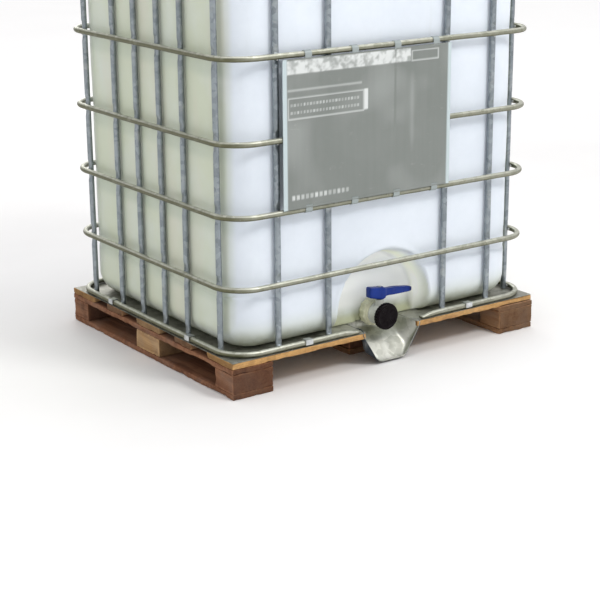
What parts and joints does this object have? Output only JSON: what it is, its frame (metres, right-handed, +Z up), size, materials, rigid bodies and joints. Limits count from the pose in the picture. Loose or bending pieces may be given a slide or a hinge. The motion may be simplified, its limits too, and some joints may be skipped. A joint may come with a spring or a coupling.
{
  "type": "intermediate bulk container",
  "caption": "Cube-shaped liquid container: moulded plastic tank in a galvanised tube cage on a wood pallet, with a fill lid on top and a lever valve with drip lip at the front.",
  "frame": {"origin": "middle of the pallet's footprint, on the floor", "axes": "+Z up, -Y towards the valve side, +X to the right of someone who faces the valve"},
  "size_m": [1.2, 1, 1.2847],
  "materials": {
    "pallet_wood": "rough sawn, weathered softwood",
    "galvanised_tube": "dull galvanised tube",
    "galvanised_sheet": "galvanised sheet with faint spangle",
    "label_steel": "satin galvanised sheet with bright edges",
    "nail_steel": "dull nail wire",
    "fastener_steel": "zinc plated",
    "tank_plastic": "translucent natural polyethylene",
    "valve_plastic": "milky polyethylene",
    "seal_rubber": "matt",
    "lever_plastic": "moulded, satin",
    "cap_plastic": "moulded, satin",
    "lid_plastic": "moulded, satin"
  },
  "bodies": {
    "container": {"skid_left": "pallet_wood", "skid_middle": "pallet_wood", "skid_right": "pallet_wood", "block_front_left": "pallet_wood", "block_front_middle": "pallet_wood", "block_front_right": "pallet_wood", "block_mid_left": "pallet_wood", "block_mid_middle": "pallet_wood", "block_mid_right": "pallet_wood", "block_rear_left": "pallet_wood", "block_rear_middle": "pallet_wood", "block_rear_right": "pallet_wood", "stringer_left": "pallet_wood", "stringer_middle": "pallet_wood", "stringer_right": "pallet_wood", "deck_front_left": "pallet_wood", "deck_front_right": "pallet_wood", "deck_second": "pallet_wood", "deck_middle": "pallet_wood", "deck_fourth": "pallet_wood", "deck_rear": "pallet_wood", "pallet_nails": "nail_steel", "base_tray": "galvanised_sheet", "drip_lip": "galvanised_sheet", "cage_clamps": "galvanised_sheet", "clamp_screws": "fastener_steel", "ring_bottom": "galvanised_tube", "ring_first": "galvanised_tube", "ring_second": "galvanised_tube", "ring_third": "galvanised_tube", "ring_fourth": "galvanised_tube", "ring_top": "galvanised_tube", "uprights_front": "galvanised_tube", "uprights_rear": "galvanised_tube", "uprights_left": "galvanised_tube", "uprights_right": "galvanised_tube", "crossbar_left": "galvanised_tube", "crossbar_right": "galvanised_tube", "crossbar_bolts": "fastener_steel", "crossbar_nuts": "fastener_steel", "label_plate": "label_steel", "tank": "tank_plastic", "outlet_nut": "valve_plastic", "valve_gasket": "seal_rubber", "valve_body": "valve_plastic", "valve_seat": "seal_rubber", "stem_seal": "seal_rubber"},
    "lever": {"lever": "lever_plastic", "lever_screw": "fastener_steel", "valve_disc": "valve_plastic"},
    "cap_seal": {"cap_gasket": "seal_rubber"},
    "cap": {"dust_cap": "cap_plastic"},
    "lid_seal": {"lid_gasket": "seal_rubber"},
    "lid": {"fill_lid": "lid_plastic"},
    "plug_seal": {"plug_ring": "seal_rubber"},
    "plug": {"vent_plug": "lid_plastic"}
  },
  "joints": [
    {"name": "lever_turn", "type": "hinge", "parent": "container", "child": "lever", "pos_m": [0, -0.432, 0.142], "axis": [0, 0, -1], "range_deg": [0, 90]},
    {"name": "cap_slide", "type": "slide", "parent": "container", "child": "cap_seal", "axis": [0, -1, 0], "range_m": [0, 0.0181]},
    {"name": "cap_turn", "type": "hinge", "parent": "cap_seal", "child": "cap", "pos_m": [0, -0.465, 0.142], "axis": [0, -1, 0], "range_deg": [0, 1080]},
    {"name": "lid_slide", "type": "slide", "parent": "container", "child": "lid_seal", "axis": [0, 0, 1], "range_m": [0, 0.0281]},
    {"name": "lid_turn", "type": "hinge", "parent": "lid_seal", "child": "lid", "pos_m": [0, 0, 1.237], "axis": [0, 0, 1], "range_deg": [0, 720]},
    {"name": "plug_slide", "type": "slide", "parent": "lid", "child": "plug_seal", "axis": [0, 0, 1], "range_m": [0, 0.0151]},
    {"name": "plug_turn", "type": "hinge", "parent": "plug_seal", "child": "plug", "pos_m": [0, 0, 1.247], "axis": [0, 0, 1], "range_deg": [0, 2340]}
  ],
  "couplings": [
    {"joint": "cap_slide", "follows": "cap_turn", "m_per_rad": 0.00095493},
    {"joint": "lid_slide", "follows": "lid_turn", "m_per_rad": 0.0022282},
    {"joint": "plug_slide", "follows": "plug_turn", "m_per_rad": 0.00036765}
  ]
}
